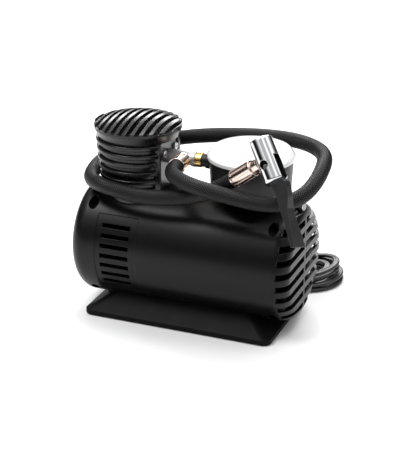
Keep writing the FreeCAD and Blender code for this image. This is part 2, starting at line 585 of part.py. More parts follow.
def drive():
    crank = Vector(0, 0, mm("crank_height"))
    gear = involute_gear(int(mm("gear_teeth")), mm("shaft_radius"), mm("gear_width"), math.radians(-90))
    lightening = []
    for y, z, _ in around(6, 13, 30):
        lightening.append(Part.makeCylinder(3.6, mm("gear_width"), Vector(0, y, z), Vector(1, 0, 0)))
    rim = Part.makeCylinder(19, 1.5, Vector(0, 0, 0), Vector(1, 0, 0))
    hub = Part.makeCylinder(7, 1.5, Vector(0, 0, 0), Vector(1, 0, 0))
    gear = gear.cut(lightening + [rim.cut(hub)])
    gear.translate(crank + Vector(mm("gear_start"), 0, 0))
    sub_part(shaped("crank_gear", gear.removeSplitter()), "crank_gear")
    reach = "motor_face - web_start - web_width - 0.4"
    sub_part(turned("crank_shaft", [("0", "0"), ("shaft_radius", "0"), ("shaft_radius", reach), ("0", reach)],
                    "web_start + web_width", "0", "crank_height", ALONG_X), "crank_shaft")
    disc = Part.makeCylinder(mm("web_radius"), mm("web_width"), Vector(mm("web_start"), 0, 0), Vector(1, 0, 0))
    spare = Part.makeBox(mm("web_width"), 40, 20, Vector(mm("web_start"), -20, mm("shaft_radius") - 6))
    hub = Part.makeCylinder(7, mm("web_width"), Vector(mm("web_start"), 0, 0), Vector(1, 0, 0))
    pin_end = mm("head_place + rod_width / 2 + pin_gap")
    pin = Part.makeCylinder(mm("crank_pin"), mm("web_start") - pin_end,
                            Vector(pin_end, 0, -mm("throw")), Vector(1, 0, 0))
    weight = disc.common(spare).fuse(hub)
    ear = Part.makeCylinder(mm("crank_pin") + 2.2, mm("web_width"),
                            Vector(mm("web_start"), 0, -mm("throw")), Vector(1, 0, 0))
    weight = weight.multiFuse([ear, pin])
    weight.translate(crank)
    sub_part(shaped("counterweight", weight.removeSplitter()), "counterweight")
    motor_axis = Vector(mm("gear_start") - 0.3, 0, mm(MOTOR_HEIGHT))
    teeth = int(mm("pinion_teeth"))
    pinion = involute_gear(teeth, mm("motor_shaft"), mm("gear_width") + 0.6,
                           math.radians(90) + math.pi / teeth)
    pinion.translate(motor_axis)
    sub_part(shaped("pinion", pinion), "pinion")


def motor():
    inner = "motor_radius - motor_wall"
    can = [("bush_radius", "0"), ("motor_radius", "0"), ("motor_radius", "motor_length - end_cap"),
           (inner, "motor_length - end_cap"), (inner, "motor_wall"), ("bush_radius + 1.5", "motor_wall"),
           ("bush_radius + 1.5", "bush_length"), ("bush_radius", "bush_length")]
    sub_part(turned("motor_can", can, "motor_face", "0", MOTOR_HEIGHT, ALONG_X), "motor_can")
    cap = [("bush_radius", "0"), ("bush_radius + 1.5", "0"), ("bush_radius + 1.5", "end_cap - 2"),
           (inner + " - 2", "end_cap - 2"), (inner + " - 2", "-3"), (inner, "-3"), (inner, "0"),
           ("motor_radius", "0"), ("motor_radius", "end_cap"), ("bush_radius", "end_cap")]
    sub_part(turned("motor_end_cap", cap, "motor_face + motor_length - end_cap", "0", MOTOR_HEIGHT, ALONG_X),
             "motor_end_cap")
    z = mm(MOTOR_HEIGHT)
    core_start = mm("motor_face + core_offset")
    axis = Vector(1, 0, 0)
    inside = mm(inner)
    tile = Part.makeCylinder(inside, mm("core_length"), Vector(core_start, 0, z), axis)
    tile = tile.cut(Part.makeCylinder(inside - mm("magnet_thick"), mm("core_length"),
                                      Vector(core_start, 0, z), axis))
    tiles = []
    for side in (-1, 1):
        window = Part.makeBox(mm("core_length"), 30, 1.1 * inside,
                              Vector(core_start, 0 if side > 0 else -30, z - 0.55 * inside))
        tiles.append(tile.common(window))
    sub_part(shaped("motor_magnets", Part.makeCompound(tiles)), "motor_magnets")
    bushes = []
    for x in (mm("motor_face"), mm("motor_face + motor_length - bush_length - 1")):
        bush = Part.makeCylinder(mm("bush_radius"), mm("bush_length"), Vector(x, 0, z), axis)
        bushes.append(bush.cut(Part.makeCylinder(mm("motor_shaft + running_gap"), 20, Vector(x - 5, 0, z), axis)))
    sub_part(shaped("motor_bushes", Part.makeCompound(bushes)), "motor_bushes")
    shaft = turned("motor_shaft", [("0", "0"), ("motor_shaft", "0"),
                                   ("motor_shaft", "motor_face + motor_length - gear_start"),
                                   ("0", "motor_face + motor_length - gear_start")],
                   "gear_start - 0.6", "0", MOTOR_HEIGHT, ALONG_X)
    sub_part(shaft, "motor_shaft")
    core_radius = inside - mm("magnet_thick + air_gap")
    core = Part.makeCylinder(core_radius, mm("core_length"), Vector(core_start, 0, z), axis)
    slots = []
    for y, up, angle in around(5, core_radius - 2.2, 18):
        slot = Part.makeCylinder(1.9, mm("core_length"), Vector(core_start, y, z + up), axis)
        slots.append(slot)
        mouth = Part.makeBox(mm("core_length"), 3, 1, Vector(core_start, core_radius - 2.4, -0.5))
        mouth.rotate(Vector(0, 0, 0), axis, angle)
        mouth.translate(Vector(0, 0, z))
        slots.append(mouth)
    core = core.cut(slots)
    winding_start = core_start - mm("winding_out")
    coil = Part.makeCylinder(core_radius - 1.2, mm("core_length + 2 * winding_out"),
                             Vector(winding_start, 0, z), axis)
    ends = [edge for edge in coil.Edges if len(edge.Vertexes) == 1]
    coil = coil.makeFillet(2.5, ends)
    bore = Part.makeCylinder(mm("motor_shaft"), mm("motor_length"), Vector(mm("motor_face"), 0, z), axis)
    armature = core.fuse(coil.cut(Part.makeCylinder(core_radius + 1, mm("core_length"),
                                                     Vector(core_start, 0, z), axis)))
    sub_part(shaped("armature", armature.cut(bore).removeSplitter()), "armature")
    begin = core_start + mm("core_length + winding_out") + 0.3
    drum_part = Part.makeCylinder(mm("commutator_radius"), mm("commutator_length"), Vector(begin, 0, z), axis)
    gaps = []
    for y, up, angle in around(5, mm("commutator_radius"), 0):
        gap = Part.makeBox(mm("commutator_length"), 1.2, 0.5, Vector(begin, mm("commutator_radius") - 0.9, -0.25))
        gap.rotate(Vector(0, 0, 0), axis, angle)
        gap.translate(Vector(0, 0, z))
        gaps.append(gap)
    sub_part(shaped("commutator", drum_part.cut(gaps + [bore])), "commutator")
    brushes = []
    for side in (-1, 1):
        near = mm("commutator_radius") + 0.15
        brush = Part.makeBox(3, mm("brush_length"), 3, Vector(begin + 1.5, near, z - 1.5))
        arm = Part.makeBox(begin_gap(begin), 0.6, 3,
                           Vector(begin + 1.5, near + mm("brush_length"), z - 1.5))
        pair = brush.fuse(arm)
        if side < 0:
            pair = pair.mirror(Vector(0, 0, 0), Vector(0, 1, 0))
        brushes.append(pair)
    sub_part(shaped("motor_brushes", Part.makeCompound(brushes)), "motor_brushes")


def begin_gap(begin):
    """The length of a brush arm from the brush to the end cap's inner face."""
    return mm("motor_face + motor_length - 2") - begin - 1.5


# ---------------------------------------------------------------- piston, cylinder and valve

def pump():
    wrist = "crank_height - throw + rod_length"
    outside = "bore_radius - piston_gap"
    groove = outside + " - seal_depth"
    seal_low = "piston_above - seal_down - seal_height"
    crown = [("0", "-piston_below"), (outside, "-piston_below"), (outside, seal_low), (groove, seal_low),
             (groove, "piston_above - seal_down"), (outside, "piston_above - seal_down"),
             (outside, "piston_above"), ("0", "piston_above")]
    blank = turned("piston_blank", crown, "head_place", "0", wrist)
    slot = block("piston_slot", "rod_width + 1", "1.4 * bore_radius", "piston_below + rod_small_eye - 2.2",
                 "head_place - rod_width / 2 - 0.5", "-0.7 * bore_radius",
                 wrist + " - piston_below")
    eye = rod("piston_eye", "rod_small_eye + 0.6", "rod_width + 1", "head_place - rod_width / 2 - 0.5", "0",
              wrist, ALONG_X)
    pin_hole = rod("piston_pin_hole", "wrist_radius", "2 * bore_radius", "head_place - bore_radius", "0",
                   wrist, ALONG_X)
    sub_part(cut("piston", blank, slot, eye, pin_hole), "piston")
    seal = [(groove, seal_low), ("bore_radius - seal_gap", seal_low),
            ("bore_radius - seal_gap", "piston_above - seal_down"), (groove, "piston_above - seal_down")]
    sub_part(turned("piston_seal", seal, "head_place", "0", wrist), "piston_seal")
    sub_part(rod("wrist_pin", "wrist_radius", "2 * bore_radius - 4.6", "head_place - bore_radius + 2.3", "0",
                 wrist, ALONG_X), "wrist_pin")
    big = "crank_height - throw"
    eye_low = rod("rod_big_eye", "rod_eye", "rod_width", "head_place - rod_width / 2", "0", big, ALONG_X)
    eye_high = rod("rod_little_eye", "rod_small_eye", "rod_width", "head_place - rod_width / 2", "0", wrist,
                   ALONG_X)
    shank = block("rod_shank_block", "rod_width - 2", "rod_shank", "rod_length", "head_place - rod_width / 2 + 1",
                  "-rod_shank / 2", big)
    hole_low = rod("rod_big_hole", "rod_bearing", "20", "head_place - 10", "0", big, ALONG_X)
    hole_high = rod("rod_little_hole", "wrist_radius + running_gap", "20", "head_place - 10", "0", wrist, ALONG_X)
    sub_part(cut("connecting_rod", fused("rod_solid", eye_low, eye_high, shank), hole_low, hole_high),
             "connecting_rod")
    sleeve = rod("sleeve_solid", "rod_bearing", "rod_width", "head_place - rod_width / 2", "0", big, ALONG_X)
    sleeve_hole = rod("sleeve_hole", "crank_pin + running_gap", "20", "head_place - 10", "0", big, ALONG_X)
    sub_part(cut("big_end_bearing", sleeve, sleeve_hole), "big_end_bearing")

    wall = "bore_radius + cylinder_wall"
    barrel = [("bore_radius", "-case_top_plate"), (wall + " - 1", "-case_top_plate"), (wall + " - 1", "0"),
              ("flange_radius", "0"), ("flange_radius", "flange_height"), (wall, "flange_height")]
    for index in range(4):
        low = f"flange_height + 3 + {index} * 4.4"
        barrel += [(wall, low), ("flange_radius", low), ("flange_radius", low + " + 1.3"), (wall, low + " + 1.3")]
    top = "cylinder_top - case_top"
    barrel += [(wall, top + " - flange_height"), ("flange_radius", top + " - flange_height"),
               ("flange_radius", top), ("bore_radius", top)]
    cylinder = turned("cylinder_blank", barrel, "head_place", "0", "case_top")
    holes = screw_holes("cylinder_holes", mm("cylinder_top") - 12, 13, mm("head_screw"))
    sub_part(cut("cylinder", cylinder, holes), "cylinder")
    gasket = rod("gasket_solid", "flange_radius", "gasket_height", "head_place", "0", "cylinder_top")
    gasket_hole = rod("gasket_hole", "bore_radius", "10", "head_place", "0", "cylinder_top - 5")
    sub_part(cut("head_gasket", gasket, gasket_hole,
                 screw_holes("gasket_holes", mm("cylinder_top") - 3, 8, mm("head_screw"))), "head_gasket")
    face = "cylinder_top + gasket_height"
    seat = face + " + seat_rise"
    solid = rod("head_solid", "head_radius + 1.5", "head_top - head_fin - cylinder_top - gasket_height",
                "head_place", "0", face)
    fins = [block(f"head_fin_{index}", "2 * head_radius - 8", "1.6", "head_fin + 1", "head_place - head_radius + 4",
                  f"({index} - 1) * 5 - 0.8", "head_top - head_fin - 1") for index in range(3)]
    chamber = rod("head_chamber", "chamber_radius", "chamber_height", "head_place", "0", seat)
    port = rod("head_seat_hole", "seat_hole", "20", "head_place", "0", face + " - 10")
    mouth = rod("head_outlet", "2.5", "40", "head_place", "0", "outlet_height + outlet_drop",
                ALONG_X)
    socket = rod("head_socket", "outlet_radius - 1.7", "20", "head_place + head_radius - 3", "0",
                 "outlet_height + outlet_drop", ALONG_X)
    sub_part(cut("cylinder_head", fused("head_block", solid, *fins), chamber, port, mouth, socket,
                 screw_holes("head_holes", mm("cylinder_top") - 3, 30, mm("head_screw"))), "cylinder_head")
    screws = [screw(mm("head_screw"), 15, 2.6, 1.8,
                    Vector(mm("head_place") + x, y, mm("head_top - head_fin")), Vector(0, 0, -1))
              for x, y, _ in around(4, mm("head_screw_out"), 45)]
    sub_part(shaped("head_screws", Part.makeCompound(screws)), "head_screws")
    sub_part(rod("delivery_valve", "valve_radius", "valve_height", "head_place", "0", seat), "delivery_valve")
    spring_low = seat + " + valve_height"
    coil_height = mm("chamber_height - valve_height")
    helix = Part.makeHelix((coil_height - 0.7) / 3, coil_height - 0.7, 2.8)
    wire = Part.Wire(Part.makeCircle(0.35, Vector(2.8, 0, 0), Vector(0, 1, 0)))
    spring = Part.Wire(helix.Edges).makePipeShell([wire], True, True)
    spring.translate(Vector(mm("head_place"), 0, mm(spring_low) + 0.35))
    sub_part(shaped("valve_spring", Part.Solid(Part.Shell(spring.Faces))), "valve_spring")


def screw_holes(name, z, height, radius):
    holes = [Part.makeCylinder(radius, height, Vector(mm("head_place") + x, y, z))
             for x, y, _ in around(4, mm("head_screw_out"), 45)]
    return shaped(name, Part.makeCompound(holes))


# ---------------------------------------------------------------- outlet and gauge

def fluted(radius, bore, length, flutes, depth):
    """A crimped sleeve along +Z with flat-bottomed flutes."""
    solid = Part.makeCylinder(radius, length)
    ends = [edge for edge in solid.Edges if len(edge.Vertexes) == 1]
    solid = solid.makeFillet(0.5, ends)
    tools = [Part.makeCylinder(bore, length + 2, Vector(0, 0, -1))]
    width = 2 * math.pi * radius / flutes * 0.42
    for x, y, angle in around(flutes, radius):
        tool = Part.makeBox(2 * depth, width, length - 3.2, Vector(radius - depth, -width / 2, 1.6))
        tool.rotate(Vector(0, 0, 0), Vector(0, 0, 1), angle)
        tools.append(tool)
    return solid.cut(tools)


def outlet():
    height = mm("outlet_height")
    start = mm("head_place + head_radius + 1.7")
    end = mm("outlet_end")
    axis = Vector(1, 0, 0)
    tube = Part.makeCylinder(mm("outlet_radius"), end - start, Vector(start, 0, height), axis)
    collar = Part.makeCylinder(mm("outlet_radius") + 0.5, 2.2, Vector(end - 2.2, 0, height), axis)
    raised = mm("outlet_height + outlet_drop")
    tenon = Part.makeCylinder(mm("outlet_radius") - 1.7, 4, Vector(start - 4, 0, raised), axis)
    branch = Part.makeCylinder(mm("branch_radius"), mm("crimp_start") + 11,
                               Vector(mm("branch_place"), 0, height), Vector(0, -1, 0))
    solid = tube.multiFuse([collar, tenon, branch])
    bore = Part.makeCylinder(2.4, end - start, Vector(start + 1, 0, height), axis)
    bore = bore.fuse(Part.makeCylinder(2.2, 8, Vector(start - 5, 0, raised), axis))
    side_bore = Part.makeCylinder(1.8, 30, Vector(mm("branch_place"), 0, height), Vector(0, -1, 0))
    sub_part(shaped("outlet_manifold", solid.cut([bore, side_bore]).removeSplitter()), "outlet_manifold")
    nut = Part.makeCylinder(mm("nipple_radius"), mm("nipple_length"), Vector(end, 0, height), axis)
    rounded = [edge for edge in nut.Edges if len(edge.Vertexes) == 1]
    nut = nut.makeFillet(0.6, rounded).cut(Part.makeCylinder(2.4, 20, Vector(end - 5, 0, height), axis))
    sub_part(shaped("brass_nipple", nut), "brass_nipple")
    stem_start = "outlet_end + nipple_length"
    stem = [("2.4", "0"), ("stem_radius", "0"), ("stem_radius", "3"), ("stem_radius + 0.8", "3"),
            ("stem_radius + 0.8", "6"), ("stem_radius", "6"),
            ("stem_radius", "gauge_place - gauge_radius + 2.2 - outlet_end - nipple_length"),
            ("2.4", "gauge_place - gauge_radius + 2.2 - outlet_end - nipple_length")]
    sub_part(turned("gauge_stem", stem, stem_start, "0", "outlet_height", ALONG_X), "gauge_stem")
    crimp = fluted(mm("crimp_radius"), mm("branch_radius"), mm("crimp_length"), int(mm("flutes")), 0.7)
    item = shaped("hose_crimp", crimp)
    place(item, "branch_place", "-crimp_start", "outlet_height", ALONG_MINUS_Y)
    sub_part(item, "hose_crimp")


def gauge():
    rise = "gauge_rim - gauge_floor"
    slope = f"(gauge_radius - gauge_low_radius) * gauge_wall / ({rise})"
    case = [("0", "0"), ("gauge_low_radius", "0"), ("gauge_radius", rise), ("gauge_radius - gauge_wall", rise),
            (f"gauge_low_radius - gauge_wall + {slope}", "gauge_wall"), ("0", "gauge_wall")]
    blank = turned("gauge_case_blank", case, "gauge_place", "0", "gauge_floor")
    hole = rod("gauge_case_hole", "stem_radius", "10", "gauge_place - gauge_radius - 5", "0", "outlet_height",
               ALONG_X)
    sub_part(cut("gauge_case", blank, hole), "gauge_case")
    inside = "gauge_radius - gauge_wall - 0.4"
    dial = rod("dial_solid", inside, "dial_thick", "gauge_place", "0", "dial_height")
    dial_hole = rod("dial_hole", "needle_shaft + running_gap", "10", "gauge_place", "0", "dial_height - 5")
    sub_part(cut("gauge_dial", dial, dial_hole), "gauge_dial")
    centre = Vector(mm("gauge_place"), 0, mm("bourdon_height"))
    ring = Part.makeTorus(mm("bourdon_radius"), mm("bourdon_tube"), centre, Vector(0, 0, 1), 0, 360, 270)
    ring.rotate(centre, Vector(0, 0, 1), 180)
    lead = Part.makeCylinder(mm("bourdon_tube") * 0.9, mm("outlet_height - bourdon_height"),
                             centre + Vector(-mm("bourdon_radius"), 0, 0))
    foot = Part.makeCylinder(2.3, mm("gauge_radius - bourdon_radius") - 1.8,
                             Vector(mm("gauge_place - gauge_radius") + 2.2, 0, mm("outlet_height")), Vector(1, 0, 0))
    sub_part(shaped("bourdon_tube", ring.multiFuse([lead, foot]).removeSplitter()), "bourdon_tube")
    opening = "bezel_radius - bezel_lap"
    lens = rod("gauge_lens", opening, "lens_thick", "gauge_place", "0", "bezel_top - lens_thick")
    sub_part(lens, "gauge_lens")
    bezel = [(opening, "gauge_rim"), ("gauge_radius", "gauge_rim"), ("gauge_radius", "gauge_rim - bezel_skirt"),
             ("bezel_radius", "gauge_rim - bezel_skirt"), ("bezel_radius", "gauge_rim + 0.8"),
             ("bezel_radius - 1.2", "gauge_rim + 2.4"), (opening, "bezel_top")]
    sub_part(turned("gauge_bezel", bezel, "gauge_place", "0", "0"), "gauge_bezel")
    low = mm("dial_height + dial_thick + needle_gap")
    tip = Vector(mm("needle_length"), 0, 0)
    corners = [tip, Vector(0, 1.1, 0), Vector(-6, 1.5, 0), Vector(-6, -1.5, 0), Vector(0, -1.1, 0), tip]
    pointer = Part.Face(Part.makePolygon(corners)).extrude(Vector(0, 0, mm("needle_thick")))
    pointer = pointer.fuse(Part.makeCylinder(2.2, mm("needle_thick")))
    pointer.rotate(Vector(0, 0, 0), Vector(0, 0, 1), 225)
    shaft = Part.makeCylinder(mm("needle_shaft"), 6 + mm("needle_thick"), Vector(0, 0, -6))
    needle = pointer.fuse(shaft).removeSplitter()
    needle.translate(Vector(mm("gauge_place"), 0, low))
    sub_part(shaped("gauge_needle", needle), "gauge_needle")


# ---------------------------------------------------------------- hose and chuck

def routed_tube(route, radius, name):
    """A tube of straight runs and tangent arcs, each arc as large as its two runs allow."""
    points = [Vector(*point) for point in route]
    edges = []
    radii = []
    here = points[0]
    length = 0.0
    for before, corner, after in zip(points, points[1:], points[2:]):
        arriving = (corner - before).normalize()
        leaving = (after - corner).normalize()
        turn = arriving.getAngle(leaving)
        trim = 0.45 * min((corner - before).Length, (after - corner).Length)
        bend = trim / math.tan(turn / 2)
        radii.append(bend)
        start = corner - arriving * trim
        end = corner + leaving * trim
        inward = (leaving - arriving).normalize()
        centre = corner + inward * (bend / math.cos(turn / 2))
        middle = centre - inward * bend
        edges.append(Part.LineSegment(here, start).toShape())
        edges.append(Part.Arc(start, middle, end).toShape())
        length += (start - here).Length + bend * turn
        here = end
    edges.append(Part.LineSegment(here, points[-1]).toShape())
    length += (points[-1] - here).Length
    path = Part.Wire(edges)
    section = Part.Wire(Part.makeCircle(radius, points[0], (points[1] - points[0]).normalize()))
    tube = path.makePipeShell([section], True, False)
    expected = math.pi * radius ** 2 * length
    print(name, "length", round(length, 1), "volume ratio", round(tube.Volume / expected, 4),
          "tightest", round(min(radii), 1), "radii", [round(value, 1) for value in radii])
    return tube


def chuck_turn():
    return (Rotation(Vector(0, 0, 1), mm("chuck_bearing")) * Rotation(Vector(0, 1, 0), mm("chuck_lean"))
            * Rotation(Vector(0, 0, 1), mm("chuck_roll")))


def on_chuck(item):
    """Puts a piece made in the chuck's own frame, mouth up and hose at -X, where the chuck hangs."""
    return place(item, "chuck_x", "chuck_y", "chuck_z", chuck_turn())


def chuck():
    radius, length = mm("barrel_radius"), mm("barrel_length")
    barrel = Part.makeCylinder(radius, length)
    barrel = barrel.makeFillet(mm("barrel_round"), [edge for edge in barrel.Edges if len(edge.Vertexes) == 1])
    thick = mm("lever_slot")
    inlet = mm("inlet_height")
    tools = [Part.makeCylinder(mm("mouth_radius"), mm("mouth_depth"), Vector(0, 0, length - mm("mouth_depth"))),
             Part.makeCylinder(1.5, length, Vector(0, 0, 5)),
             Part.makeBox(radius + 4, thick, mm("lever_slot_top") + 1, Vector(-4, -thick / 2, -1)),
             Part.makeCylinder(mm("pivot_radius"), 30, Vector(0, -15, mm("pivot_height")), Vector(0, 1, 0)),
             Part.makeCylinder(mm("window_radius"), 10, Vector(0, -thick / 2 - 1.2, mm("pivot_height") + 1.2),
                               Vector(0, -1, 0)),
             Part.makeCylinder(mm("neck_radius") - 1.8, 10, Vector(-radius - 2, 0, inlet), Vector(1, 0, 0)),
             Part.makeCylinder(mm("neck_radius"), 10, Vector(-radius + 0.4, 0, inlet), Vector(-1, 0, 0))]
    shell = barrel.cut(tools).removeSplitter()
    sub_part(on_chuck(shaped("chuck_barrel", shell)), "chuck_barrel")
    seal_low = length - mm("seal_length") - 0.6
    seal = Part.makeCylinder(mm("mouth_radius"), mm("seal_length"), Vector(0, 0, seal_low))
    seal = seal.cut(Part.makeCylinder(mm("seal_bore"), mm("seal_length"), Vector(0, 0, seal_low)))
    sub_part(on_chuck(shaped("chuck_seal", seal)), "chuck_seal")
    thickness = mm("lever_thick")
    pivot, cam, tip = mm("pivot_height"), mm("lever_cam"), -mm("lever_length")
    across = mm("lever_foot")
    hub = Part.makeCylinder(cam, thickness, Vector(0, -thickness / 2, pivot), Vector(0, 1, 0))
    corners = [(-cam, pivot), (cam, pivot), (cam + 0.4, 3), (7.6, -3), (7.4, -7), (5.6, -13), (2.6, -20),
               (0.9, -28), (-0.3, tip + 6), (-1.4, tip), (-4.4, tip + 1), (-3.9, tip + 6), (-3, -28),
               (-3.2, -17), (-2.4, -6), (-cam, 2)]
    outline = [Vector(x, -across / 2, z) for x, z in corners]
    blade = Part.Face(Part.makePolygon(outline + outline[:1])).extrude(Vector(0, across, 0))
    spread = [(thickness / 2, pivot + cam), (thickness / 2, -mm("lever_flare")), (across / 2, tip),
              (-across / 2, tip), (-thickness / 2, -mm("lever_flare")), (-thickness / 2, pivot + cam)]
    outline = [Vector(-20, y, z) for y, z in spread]
    paddle = Part.Face(Part.makePolygon(outline + outline[:1])).extrude(Vector(40, 0, 0))
    lever = hub.fuse(blade.common(paddle))
    lever = lever.cut(Part.makeCylinder(mm("pivot_radius"), 30, Vector(0, -15, pivot), Vector(0, 1, 0)))
    sub_part(on_chuck(shaped("chuck_lever", lever.removeSplitter())), "chuck_lever")
    pin = Part.makeCylinder(mm("pivot_radius") - mm("running_gap"), 2 * radius - 2.4,
                            Vector(0, -radius + 1.2, pivot), Vector(0, 1, 0))
    sub_part(on_chuck(shaped("lever_pin", pin)), "lever_pin")
    neck = Part.makeCylinder(mm("neck_radius"), mm("neck_length"), Vector(-radius + 0.4, 0, inlet), Vector(-1, 0, 0))
    thread = Part.makeCylinder(mm("neck_radius") - 1.8, 2.6, Vector(-radius + 0.4, 0, inlet), Vector(1, 0, 0))
    barb = Part.makeCylinder(2.6, mm("ferrule_length"), Vector(-radius + 0.4 - mm("neck_length"), 0, inlet),
                             Vector(-1, 0, 0))
    air = Part.makeCylinder(1.4, 60, Vector(-radius - 40, 0, inlet), Vector(1, 0, 0))
    neck = neck.multiFuse([thread, barb]).cut(air)
    sub_part(on_chuck(shaped("chuck_neck", neck.removeSplitter())), "chuck_neck")
    sleeve = fluted(mm("ferrule_radius"), 2.6, mm("ferrule_length"), int(mm("flutes")), 0.7)
    sleeve.rotate(Vector(0, 0, 0), Vector(0, 1, 0), -90)
    sleeve.translate(Vector(-radius + 0.4 - mm("neck_length"), 0, inlet))
    sub_part(on_chuck(shaped("chuck_ferrule", Part.makeCompound([sleeve]))), "chuck_ferrule")
    end = chuck_turn().multVec(Vector(-radius + 0.4 - mm("neck_length + ferrule_length"), 0, inlet))
    print("hose end at", end + Vector(mm("chuck_x"), mm("chuck_y"), mm("chuck_z")))


def hose():
    sub_part(shaped("air_hose", routed_tube(HOSE_ROUTE, mm("hose_radius"), "air_hose")), "air_hose")


# ---------------------------------------------------------------- power cord and plug

def hank_ring(inset, low, height):
    """A flat oval ring's outer outline, moved in by inset."""
    back, front = mm("hank_back") - inset, mm("hank_front") + inset
    radius = (back - front) / 2
    middle = (back + front) / 2
    straight = mm("hank_half_length") - inset - radius
    block_shape = Part.makeBox(2 * straight, 2 * radius, height, Vector(-straight, front, low))
    ends = [Part.makeCylinder(radius, height, Vector(side * straight, middle, low)) for side in (-1, 1)]
    return block_shape.multiFuse(ends).removeSplitter()


def power_lead():
    low, height = mm("floor_gap"), mm("hank_height")
    ring = hank_ring(0, low, height).cut(hank_ring(mm("hank_band"), low, height))
    sub_part(shaped("cord_hank", ring), "cord_hank")
    thick, width = mm("tie_thick"), mm("tie_width")
    band = mm("hank_band")
    strap = Part.makeBox(width, band + 2 * thick, height + thick + low,
                         Vector(mm("tie_place"), mm("hank_front") - thick, 0))
    strap = strap.cut(Part.makeBox(width, band, height + low, Vector(mm("tie_place"), mm("hank_front"), 0)))
    sub_part(shaped("cord_tie", strap), "cord_tie")
    surface = mm("drum_radius")
    rise = mm("gland_z - drum_height")
    start = math.sqrt(surface ** 2 - rise ** 2)
    collar = Part.makeCone(mm("gland_radius"), mm("gland_tip_radius"), mm("gland_length"),
                           Vector(mm("gland_x"), start - 0.6, mm("gland_z")), Vector(0, 1, 0))
    neck = Part.makeCylinder(mm("gland_tip_radius") + 0.6, 8, Vector(mm("gland_x"), start - 8, mm("gland_z")),
                             Vector(0, 1, 0))
    solid = collar.cut(drum(0)).fuse(neck)
    sub_part(shaped("cord_gland", solid.removeSplitter()), "cord_gland")
    print("gland tip at y", start - 0.6 + mm("gland_length"))
    sub_part(shaped("power_cord", routed_tube(CORD_ROUTE, mm("cord_radius"), "power_cord")), "power_cord")


def plug():
    height = "plug_handle_radius + floor_gap"
    grip = [("cord_radius", "0"), ("5", "0"), ("plug_handle_radius - 2", "5"), ("plug_handle_radius", "9")]
    for index in range(4):
        low = f"12 + {index} * 4.2"
        grip += [("plug_handle_radius", low), ("plug_handle_radius - 0.9", low + " + 0.5"),
                 ("plug_handle_radius - 0.9", low + " + 1.5"), ("plug_handle_radius", low + " + 2")]
    nose_end = "plug_handle + plug_nose"
    grip += [("plug_handle_radius", "plug_handle"), ("plug_nose_radius", "plug_handle"),
             ("plug_nose_radius", nose_end), ("plug_nose_radius - plug_wall", nose_end),
             ("plug_nose_radius - plug_wall", "8"), ("cord_radius", "8")]
    blank = turned("plug_blank", grip, "plug_back", "plug_y", height, ALONG_X)
    windows = block("plug_windows", "plug_nose - 12", "4 * plug_nose_radius", "contact_width + 0.6",
                    "plug_back + plug_handle + 6", "plug_y - 2 * plug_nose_radius",
                    height + " - contact_width / 2 - 0.3")
    sub_part(cut("plug_body", blank, windows), "plug_body")
    ring = [("tip_radius + running_gap", "0"), ("plug_nose_radius", "0"), ("plug_ring_radius", "plug_ring_length"),
            ("tip_radius + running_gap", "plug_ring_length")]
    sub_part(turned("plug_ring", ring, "plug_back + plug_handle + plug_nose", "plug_y", height, ALONG_X),
             "plug_ring")
    tip = [("0", "0"), ("tip_radius + 1.8", "0"), ("tip_radius + 1.8", "2"), ("tip_radius", "2"),
           ("tip_radius", "plug_ring_length + tip_length - 2"), ("tip_radius - 1.6", "plug_ring_length + tip_length"),
           ("0", "plug_ring_length + tip_length")]
    sub_part(turned("plug_tip", tip, "plug_back + plug_handle + plug_nose - 2.2", "plug_y", height, ALONG_X),
             "plug_tip")
    springs = []
    start = mm("plug_back + plug_handle + 7")
    span = mm("plug_nose") - 14
    rise = mm("plug_nose_radius - 0.8")
    crest = mm("plug_nose_radius + contact_proud")
    for side in (-1, 1):
        outer = Part.Arc(Vector(start, rise, 0), Vector(start + span / 2, crest, 0), Vector(start + span, rise, 0))
        inner = Part.Arc(Vector(start, rise - 0.7, 0), Vector(start + span / 2, crest - 0.7, 0),
                         Vector(start + span, rise - 0.7, 0))
        outline = Part.Wire([outer.toShape(), Part.makeLine(Vector(start + span, rise, 0),
                                                            Vector(start + span, rise - 0.7, 0)),
                             inner.toShape(), Part.makeLine(Vector(start, rise - 0.7, 0), Vector(start, rise, 0))])
        leaf = Part.Face(outline).extrude(Vector(0, 0, mm("contact_width")))
        leaf.translate(Vector(0, 0, -mm("contact_width") / 2))
        if side < 0:
            leaf = leaf.mirror(Vector(0, 0, 0), Vector(0, 1, 0))
        leaf.translate(Vector(0, mm("plug_y"), mm(height)))
        springs.append(leaf)
    sub_part(shaped("plug_contacts", Part.makeCompound(springs)), "plug_contacts")
    lead = rod("plug_lead", "cord_radius", "plug_lead_length", "plug_back - plug_lead_length", "plug_y", height,
               ALONG_X)
    sub_part(lead, "plug_lead")


housing()
head_cover()
crankcase()
drive()
motor()
pump()
outlet()
gauge()
chuck()
hose()
power_lead()
plug()
doc.recompute()

for item in doc.Objects:
    if "Invalid" in item.State or "Error" in item.State:
        raise RuntimeError(f"{item.Label} did not build: {item.State}")
os.makedirs("parts", exist_ok=True)
for item in sub_parts:
    shape = item.Shape
    if shape.isNull() or not shape.isValid() or not shape.Solids:
        raise RuntimeError(f"{item.Label} is not a valid solid")
    shape.exportStep(os.path.join("parts", item.Label + ".step"))
print(len(sub_parts), "sub-parts")
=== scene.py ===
"""Finish of the small 12 V air compressor: satin black shells, a braided hose that wraps the pump head,
a mirror-plated chuck, the round gauge, and the twin-lead cord wound behind it."""
import bpy
import math
from mathutils import Matrix, Vector


